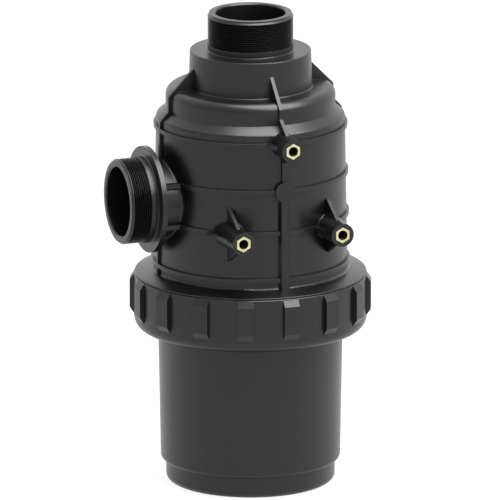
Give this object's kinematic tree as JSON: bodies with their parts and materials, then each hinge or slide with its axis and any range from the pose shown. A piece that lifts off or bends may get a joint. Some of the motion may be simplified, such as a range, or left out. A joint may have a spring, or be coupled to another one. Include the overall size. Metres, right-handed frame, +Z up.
{
  "type": "suction filter",
  "caption": "Suction filter with a threaded top port and side port, a lugged ring nut, a deep bowl, brass mounting inserts and a strainer cartridge inside.",
  "frame": {"origin": "centre of the bowl's flat underside, on the filter's main axis", "axes": "+Z up along the main axis towards the top port, -X along the side port, -Y out of the mounting bosses"},
  "size_m": [0.2682, 0.2497, 0.4925],
  "materials": {
    "head_plastic": "dark grey moulded polypropylene, satin",
    "nut_plastic": "dark grey moulded polypropylene, satin",
    "bowl_plastic": "dark grey moulded polypropylene, satin",
    "cartridge_plastic": "blue moulded polypropylene",
    "mesh_steel": "woven stainless steel wire",
    "seal_rubber": "black nitrile rubber",
    "insert_brass": "turned yellow brass"
  },
  "bodies": {
    "bowl": {"bowl": "bowl_plastic", "bowl_o_ring": "seal_rubber", "cartridge_upper_ring": "cartridge_plastic", "cartridge_lower_ring": "cartridge_plastic", "cartridge_upper_seal": "seal_rubber", "cartridge_lower_seal": "seal_rubber", "cartridge_cage": "cartridge_plastic", "cartridge_mesh": "mesh_steel"},
    "ring_nut": {"ring_nut": "nut_plastic"},
    "head": {"head": "head_plastic", "insert_top": "insert_brass", "insert_left": "insert_brass", "insert_right": "insert_brass"}
  },
  "joints": [
    {"name": "nut_spin", "type": "hinge", "parent": "bowl", "child": "ring_nut", "pos_m": [0, 0, 0.19], "axis": [0, 0, -1], "range_deg": [0, 2160]},
    {"name": "head_lift", "type": "slide", "parent": "bowl", "child": "head", "axis": [0, 0, 1], "range_m": [0, 0.0361]}
  ],
  "couplings": [
    {"joint": "head_lift", "follows": "nut_spin", "m_per_rad": 0.00095493}
  ]
}
